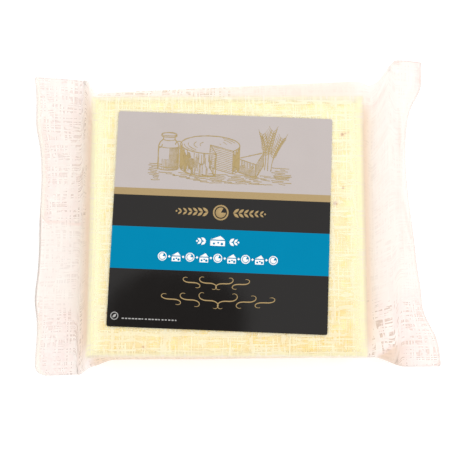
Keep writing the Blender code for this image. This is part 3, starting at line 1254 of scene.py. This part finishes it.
def cheese_mesh():
    """A block just inside the film, with rounded edges and a faintly uneven skin."""
    mesh = bmesh.new()
    bmesh.ops.create_cube(mesh, size=2.0)
    bmesh.ops.subdivide_edges(mesh, edges=mesh.edges[:], cuts=BLOCK_CUTS, use_grid_fill=True)
    half_size = Vector((HALF_LENGTH, HALF_WIDTH, HALF_HEIGHT)) - Vector(BLOCK_GAPS)
    for vert in mesh.verts:
        spread = [half * math.sin(math.pi / 2.0 * part) for half, part in zip(half_size, vert.co)]
        x, y, z = rounded(spread, half_size, BLOCK_RADII)
        past_x = x - (half_size.x - BLOCK_CORNER)
        past_y = y - (half_size.y - BLOCK_CORNER)
        if past_x > 0.0 and past_y > 0.0:
            inward = max(past_x, past_y) / math.hypot(past_x, past_y) - 1.0
            x += past_x * inward
            y += past_y * inward
        vert.co = (x, y, z)
        vert.co -= vert.co.normalized() * DENT_DEPTH * (0.5 + 0.5 * noise.noise(vert.co / DENT_SIZE))
    bmesh.ops.translate(mesh, verts=mesh.verts[:], vec=(0.0, 0.0, HALF_HEIGHT + BLOCK_LIFT))
    bmesh.ops.recalc_face_normals(mesh, faces=mesh.faces[:])
    return mesh


def film_stations():
    """Where the film is divided along X, as pairs of a point function and the way travelled."""
    stations = []
    start = HALF_LENGTH - SHOULDER_START

    def fin(end, share):
        return lambda girth, side: fin_point(end, share, girth, side)

    def tube(end, along):
        return lambda girth, side: tube_point(end, along, girth, side)

    for end in (LEFT, RIGHT):
        places = []
        for step in range(1, TUBE_STEPS):
            along = start * step / TUBE_STEPS
            places.append((tube(end, along), along))
        for step in range(SHOULDER_STEPS):
            along = start + end.ear_length * step / SHOULDER_STEPS
            places.append((tube(end, along), along))
        root = start + end.ear_length
        for step in range(FIN_STEPS + 1):
            places.append((fin(end, step / FIN_STEPS), root + FIN_TRAVEL * step / FIN_STEPS))
        if end is LEFT:
            stations += [(point, -along) for point, along in reversed(places)]
            stations.append((tube(end, 0.0), 0.0))
        else:
            stations += places
    return stations


def sheet_mesh(lengthways, across):
    """A closed sheet two units wide, and the height that parts its upper from its lower layer."""
    mesh = bmesh.new()
    bmesh.ops.create_grid(mesh, x_segments=lengthways, y_segments=across, size=1.0)
    bmesh.ops.solidify(mesh, geom=mesh.faces[:], thickness=1.0)
    return mesh, sum(vert.co.z for vert in mesh.verts) / len(mesh.verts)


def film_mesh():
    """Lay a two-sided grid over the film's stations, with its threads and shares marked."""
    stations = film_stations()
    last = len(stations) - 1
    length = girth_length()
    mesh, middle = sheet_mesh(last, FILM_COLUMNS)
    threads = mesh.verts.layers.float_vector.new("threads")
    layers = [mesh.verts.layers.float.new(name) for name in Marks._fields]
    for vert in mesh.verts:
        point, travelled = stations[round((vert.co.x + 1.0) / 2.0 * last)]
        girth = vert.co.y
        side = 1 if vert.co.z > middle else -1
        x, y, z = point(girth, side)
        end = LEFT if x < 0.0 else RIGHT
        past = abs(travelled) - (HALF_LENGTH - SHOULDER_START)
        if past < 0.0:
            fold = 0.5 + 0.5 * folds(x / 0.012, girth * length / 0.009, 7.0)
            z += side * BLOCK_FOLD * fold
        elif past < end.ear_length:
            pull = math.sin(math.pi * past / end.ear_length)
            z += side * SHOULDER_FOLD * pull * folds(x / 0.020, girth * length / 0.0035, 9.0)
        if side < 0 and z < HALF_HEIGHT - SEAM_THICKNESS:
            z += SEAM_THICKNESS
        vert.co = (x, y, z)
        way = girth * length if side > 0 else 2.0 * length - girth * length
        vert[threads] = (travelled, way + askew(x, y), 0.0)
        for layer, share in zip(layers, film_marks(end, x, y, girth, side)):
            vert[layer] = share
    bmesh.ops.recalc_face_normals(mesh, faces=mesh.faces[:])
    return mesh


def seam_mesh():
    """The crimped seam that lies folded flat along the middle of the back."""
    mesh, middle = sheet_mesh(*SEAM_STEPS)
    threads = mesh.verts.layers.float_vector.new("threads")
    layers = [mesh.verts.layers.float.new(name) for name in ("printed", "fin")]
    for vert in mesh.verts:
        x = vert.co.x * SEAM_HALF_LENGTH
        y = vert.co.y * SEAM_HALF_WIDTH + SEAM_WANDER * folds(x / 0.016, 0.0, 13.0)
        ridge = SEAM_RIDGE * math.sin(2.0 * math.pi * x / SEAM_PITCH) * rise(abs(vert.co.y), *SEAM_PLAIN)
        side = 1 if vert.co.z > middle else -1
        vert.co = (x, y, SEAM_MIDDLE + ridge + side * SEAM_SHEET / 2.0)
        vert[threads] = (x, y + SEAM_WAY, 0.0)
        for layer in layers:
            vert[layer] = 1.0
    bmesh.ops.recalc_face_normals(mesh, faces=mesh.faces[:])
    return mesh


def past_block(x):
    """How far along X a point lies past the block's end, as it shows through the film."""
    return abs(x) - HALF_LENGTH - (LEFT_SHOW if x < 0.0 else 0.0)


def past_side(y):
    """How far along Y a point lies past the block's side."""
    return abs(y) - HALF_WIDTH


def film_marks(end, x, y, girth, side):
    """The shares written on a point of the film."""
    upper = side > 0
    tucked = tuck_shadow_share(x, y)
    return Marks(
        printed=printed_share(end, x, y, girth, side),
        fin=off_block(x, y),
        valley=valley_shade_share(x, y, girth),
        rim=1.0 - rise(fin_edge(end, girth) - abs(x), 0.0, RIM_WIDTH),
        plain=max(plain_share(x, y), tucked),
        crease=crease_shade_share(x, y) if upper else 0.0,
        blush=blush_share(x, y),
        dots=gap_shadow_share(x, y),
        tuck=tucked,
        # painted glow along the cheese's outline, on the upper layer only
        edge=edge_share(x, y) if upper else 0.0,
    )


def printed_share(end, x, y, girth, side):
    """How strongly the film is printed: not along a fin's outer edge, and little over block ends."""
    outer = fin_edge(end, girth)
    margin = end.margin * (1.0 + 0.4 * folds(girth * 6.0, 1.0, end.direction))
    share = smooth_step((outer - abs(x)) / margin - 0.6)
    if side < 0 and end is LEFT:
        share = max(share, smooth_step(curve_value(end.steps, (1.0 - girth) / 2.0) / STEP_FADE))
    if side > 0:
        # Print thinned over a strip inside the block's ends, where the painted glow washes it out
        strip = rise(past_block(x), *FAINT_STRIP) * (1.0 - off_block(x, y))
        share *= mix(1.0, 0.35, strip)
    return share


def valley_shade_share(x, y, girth):
    """How strongly painted shade, tinted by light bounced off the cheese, lies on the film that dives past
    the block's end and beside its sides.
    """
    past = past_block(x)
    end_share = 0.90 * rise(past, *VALLEY_END) * math.exp(-(past / VALLEY_LENGTH) ** 2)
    side_share = rise(past_side(y), *VALLEY_SIDE) * rise(past, *VALLEY_ENDS)
    return max(end_share * rise(abs(girth), *VALLEY_GIRTH), side_share * (1.0 if y < 0.0 else 0.25))


def off_block(x, y):
    """How surely the film has nothing behind it: past the block's ends or standing off its sides."""
    return max(rise(past_block(x), *OFF_END), rise(past_side(y), *OFF_SIDE))


def edge_share(x, y):
    """1 in a band just inside the outline of the block's top, where the film is painted with the glow of
    light along the cheese's edge.
    """
    past_x = past_block(x)
    past_y = past_side(y)
    in_x = max(0.0, past_x + LEMON_CORNER_INSET)
    in_y = max(0.0, past_y + LEMON_CORNER_INSET)
    at_side = max(rise(past_y, *LEMON_SIDE), rise(math.hypot(in_x, in_y), *LEMON_CORNER))
    inside = rise(past_x, *LEMON_OUT_END) * rise(past_y, *LEMON_OUT_SIDE)
    return max(rise(past_x, *LEMON_END), 0.85 * at_side) * inside


def near_corner(y):
    """1 in the near part of the right fin, where its print starts to show, and 0 further up."""
    return rise(y, *NEAR_CORNER)


def askew(x, y):
    """How far the rows of threads are pulled aside near the right fin's folded corner."""
    start, end = PULLED_PART
    return THREAD_PULL * (min(max(x, start), end) - start) * rise(y, *PULL_GROWS)


def plain_share(x, y):
    """How faint the gaps in the print look: on most of the right fin and midway down the left one."""
    if x > 0.0:
        return (1.0 - near_corner(y)) * (0.86 + 0.14 * folds(x / 0.008, y / 0.022, 61.0))
    past = abs(x) - HALF_LENGTH
    diving = rise(past, *DIVE_START) * rise(past, *DIVE_END)
    middle = rise(y, *PALE_GAPS[0]) * rise(y, *PALE_GAPS[1])
    return max(0.9 * diving, middle * 0.70 + 0.25 * max(0.0, folds(x / 0.010, y / 0.018, 67.0)))


def gap_shadow_share(x, y):
    """How strongly painted shade, standing in for the shadowed floor seen through them, darkens the gaps
    between threads: most in the right fin's near corner.
    """
    if x < 0.0:
        return 0.25 * rise(x, *LEFT_GAP_SHADOW)
    return near_corner(y) * (0.70 - 0.25 * rise(x, *RIGHT_GAP_SHADOW))


def tuck_shadow_share(x, y):
    """How strongly painted shadow shows on film tucked under the pack: the right fin's flap, just past the
    block's ends and along its near side.
    """
    (x0, y0), (x1, y1) = TUCK_LINE
    under = ((x - x0) * (y1 - y0) - (y - y0) * (x1 - x0)) / math.hypot(x1 - x0, y1 - y0)
    flap = 0.85 * rise(under, 0.0, FLAP_EDGE) * rise(x, x0, x0 + FLAP_START) * rise(x, *FLAP)
    beside = 0.50 * math.exp(-((past_block(x) - SHADOW_PLACE) / SHADOW_WIDTH) ** 2)
    beside *= rise(past_side(y), *SHADOW_ENDS)
    return max(flap, beside, 0.6 * near_line(x, y, NEAR_SHADE, NEAR_SHADE_WIDTH))


def blush_share(x, y):
    """How much pinker a fin's ink is: towards the right fin's near corner and down the left one."""
    if x > 0.0:
        near = rise(y, *PINK_NEAR) * mix(0.15, 1.0, rise(x, *PINK_OUTWARD))
        return near + rise(y, *PINK_FAR) * rise(x, *PINK_CORNER)
    return 0.40 * rise(y, *LEFT_PINK)


def near_line(x, y, line, width):
    """1 on a straight line between two points, fading to 0 at a distance from it."""
    (x0, y0), (x1, y1) = line
    length = math.hypot(x1 - x0, y1 - y0)
    along = ((x - x0) * (x1 - x0) + (y - y0) * (y1 - y0)) / length
    aside = ((x - x0) * (y1 - y0) - (y - y0) * (x1 - x0)) / length
    return math.exp(-(aside / width) ** 2) * rise(along, -width, 0.0) * rise(along, length + width, length)


def crease_shade_share(x, y):
    """How strongly painted shade along a fold shows in the upper layer of a fin."""
    return min(1.0, sum(depth * near_line(x, y, line, width) for line, width, depth in CREASE_SHADES))


class CHEDDAR_OT_film(bpy.types.Operator):
    """Make the printed clear film with its two sealed fins"""

    bl_idname = "cheddar.film"
    bl_label = "Film"

    def execute(self, context):
        settings = context.scene.cheddar_film
        piece = mesh_piece("printed_film", film_mesh(), [printed_film(settings)])
        belongs(piece)
        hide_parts("film_pack")
        seam = mesh_piece("back_seam", seam_mesh(), [piece.data.materials[0]])
        belongs(seam)
        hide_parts("film_pack")
        return {"FINISHED"}


class CHEDDAR_OT_cheese(bpy.types.Operator):
    """Make the block of cheese inside the film"""

    bl_idname = "cheddar.cheese"
    bl_label = "Cheese"

    def execute(self, context):
        settings = context.scene.cheddar_cheese
        mesh = cheese_mesh()
        piece = mesh_piece("cheese_block", mesh, [cheddar(settings)])
        belongs(piece)
        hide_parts("film_pack")
        return {"FINISHED"}


class CHEDDAR_OT_label(bpy.types.Operator):
    """Make the label with its five bands"""

    bl_idname = "cheddar.label"
    bl_label = "Label"

    def execute(self, context):
        settings = context.scene.cheddar_label
        half = LABEL_SIDE / 2
        mesh = bmesh.new()
        bmesh.ops.create_grid(mesh, x_segments=1, y_segments=1, size=half)
        bmesh.ops.bevel(
            mesh,
            geom=mesh.verts[:],
            offset=LABEL_CORNER,
            offset_type="OFFSET",
            segments=5,
            profile=0.5,
            affect="VERTICES",
            material=-1,
        )
        for share in BAND_ENDS:
            everything = mesh.verts[:] + mesh.edges[:] + mesh.faces[:]
            cut = (0.0, half - share * LABEL_SIDE, 0.0)
            bmesh.ops.bisect_plane(mesh, geom=everything, plane_co=cut, plane_no=(0.0, 1.0, 0.0))
        for face in mesh.faces:
            down = (half - face.calc_center_median().y) / LABEL_SIDE
            face.material_index = sum(down > share for share in BAND_ENDS)
        raised = bmesh.ops.extrude_face_region(mesh, geom=mesh.faces[:])["geom"]
        verts = [item for item in raised if isinstance(item, bmesh.types.BMVert)]
        thickness = LABEL_HIGH.z - FILM_HIGH.z - LABEL_FLOAT
        bmesh.ops.translate(mesh, verts=verts, vec=(0.0, 0.0, -thickness))
        on_label(mesh)
        bmesh.ops.recalc_face_normals(mesh, faces=mesh.faces[:])
        black = coated_paper("label_black", settings.black, 0.08)
        materials = [
            coated_paper("label_silver", settings.silver, 0.45, 0.0, 0.1),
            coated_paper("label_gold", settings.gold, 0.40, 0.2),
            black,
            coated_paper("label_blue", settings.blue, 0.30, 0.0, 0.02),
            black,
        ]
        piece = mesh_piece("label_sheet", mesh, materials, smooth=False)
        belongs(piece)
        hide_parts("label")
        return {"FINISHED"}


class CHEDDAR_OT_print(bpy.types.Operator):
    """Print the label: a still life, ornaments in two rows, scrolls, a mark and a rule"""

    bl_idname = "cheddar.print"
    bl_label = "Print"

    def execute(self, context):
        settings = context.scene.cheddar_label
        drawing = coated_paper("ink_drawing", settings.drawing, 0.40)
        gold = coated_paper("ink_gold", settings.bronze, 0.36)
        white = coated_paper("ink_white", settings.white, 0.34)
        ink_piece("label_drawing", stroke_mesh(drawing_strokes()), drawing)
        ink_piece("label_title", shape_mesh(title_outlines(TITLE_PLACE)), gold)
        ink_piece("label_upper_row", shape_mesh(upper_white_outlines(UPPER_ROW_PLACE)), white)
        ink_piece("label_lower_row", shape_mesh(lower_white_outlines(LOWER_ROW_PLACE)), white)
        scrolls = flourish_strokes(UPPER_SCROLL_PLACE, (24.0, 4.4), 2, SCROLL_WIDTH)
        scrolls += flourish_strokes(LOWER_SCROLL_PLACE, (41.0, 5.6), 3, SCROLL_WIDTH)
        ink_piece("label_scrolls", stroke_mesh(scrolls), gold)
        small = mark_outlines(MARK_PLACE, 1.45) + dash_outlines(RULE_START, RULE_END, 17, 0.42)
        ink_piece("label_mark", shape_mesh(small), coated_paper("ink_small", settings.small, 0.36))
        return {"FINISHED"}


class CHEDDAR_OT_stage(bpy.types.Operator):
    """Set up the floor, the light and the camera"""

    bl_idname = "cheddar.stage"
    bl_label = "Stage"

    def execute(self, context):
        settings = context.scene.cheddar_stage
        mesh = bmesh.new()
        bmesh.ops.create_grid(mesh, x_segments=1, y_segments=1, size=FLOOR_HALF)
        bmesh.ops.translate(mesh, verts=mesh.verts[:], vec=(0.0, 0.0, FLOOR_HEIGHT))
        mesh_piece("floor", mesh, [floor_finish(settings)], smooth=False)
        world = bpy.data.worlds.new("sky")
        world.use_nodes = True
        background = world.node_tree.nodes["Background"]
        background.inputs["Color"].default_value = (1.0, 1.0, 1.0, 1.0)
        background.inputs["Strength"].default_value = settings.sky
        context.scene.world = world
        lamp = bpy.data.lights.new("soft_key", "AREA")
        lamp.shape = "DISK"
        lamp.size = LAMP_SIZE
        lamp.energy = settings.key
        key = bpy.data.objects.new("soft_key", lamp)
        key.location = LAMP_PLACE
        key.rotation_euler = (-key.location).to_track_quat("-Z", "Y").to_euler()
        context.scene.collection.objects.link(key)
        self.add_card()
        self.add_camera(context)
        context.scene.view_settings.view_transform = "Standard"
        return {"FINISHED"}

    def add_card(self):
        """A dark card over the pack that only shows as a soft shape in the glossy label."""
        surface = Surface("dark_card")
        x, y, z = surface.place()
        grain = surface.noise(surface.vector(x, y, z), 60.0, 2.0)
        tone = surface.blend(grain, *((grey,) * 3 for grey in CARD_TONES))
        mesh = bmesh.new()
        bmesh.ops.create_circle(mesh, cap_ends=True, segments=24, radius=0.5)
        bmesh.ops.scale(mesh, verts=mesh.verts[:], vec=(*CARD_SIZE, 1.0))
        bmesh.ops.translate(mesh, verts=mesh.verts[:], vec=CARD_PLACE)
        finish = surface.shade(Base_Color=tone, Roughness=1.0)
        card = mesh_piece("dark_card_0", mesh, [finish], smooth=False)
        card.visible_camera = False
        card.visible_diffuse = False
        card.visible_transmission = False
        card.visible_shadow = False

    def add_camera(self, context):
        """Look down on the label from the photograph's place."""
        data = bpy.data.cameras.new("camera")
        data.sensor_width = 36.0
        data.lens = data.sensor_width * PHOTO_FOCUS / PHOTO_SIDE
        data.clip_start = 0.01
        camera = bpy.data.objects.new("camera", data)
        turn = Euler((CAMERA_TILT, 0.0, CAMERA_ROLL), "XYZ").to_matrix()
        aim = Vector((*CAMERA_AIM, FILM_HIGH.z))
        camera.matrix_world = Matrix.Translation(aim + turn.col[2] * CAMERA_DISTANCE) @ turn.to_4x4()
        context.scene.collection.objects.link(camera)
        context.scene.camera = camera


class CHEDDAR_PT_panel(bpy.types.Panel):
    """The pack's pieces, in the order in which they are made"""

    bl_label = "Film-packed Cheddar"
    bl_idname = "CHEDDAR_PT_panel"
    bl_space_type = "VIEW_3D"
    bl_region_type = "UI"
    bl_category = "Cheddar"

    def draw(self, context):
        for operator in OPERATORS:
            self.layout.operator(operator.bl_idname)


SETTINGS = {
    "cheddar_film": FilmSettings,
    "cheddar_cheese": CheeseSettings,
    "cheddar_label": LabelSettings,
    "cheddar_stage": StageSettings,
}
OPERATORS = (
    CHEDDAR_OT_stage,
    CHEDDAR_OT_cheese,
    CHEDDAR_OT_film,
    CHEDDAR_OT_label,
    CHEDDAR_OT_print,
)


def register():
    for name, group in SETTINGS.items():
        bpy.utils.register_class(group)
        setattr(bpy.types.Scene, name, bpy.props.PointerProperty(type=group))
    for operator in OPERATORS:
        bpy.utils.register_class(operator)
    bpy.utils.register_class(CHEDDAR_PT_panel)


def unregister():
    bpy.utils.unregister_class(CHEDDAR_PT_panel)
    for operator in reversed(OPERATORS):
        bpy.utils.unregister_class(operator)
    for name, group in SETTINGS.items():
        delattr(bpy.types.Scene, name)
        bpy.utils.unregister_class(group)


def main():
    """Make every piece in order."""
    register()
    bpy.ops.cheddar.stage()
    bpy.ops.cheddar.cheese()
    bpy.ops.cheddar.film()
    bpy.ops.cheddar.label()
    bpy.ops.cheddar.print()


if __name__ == "__main__":
    main()
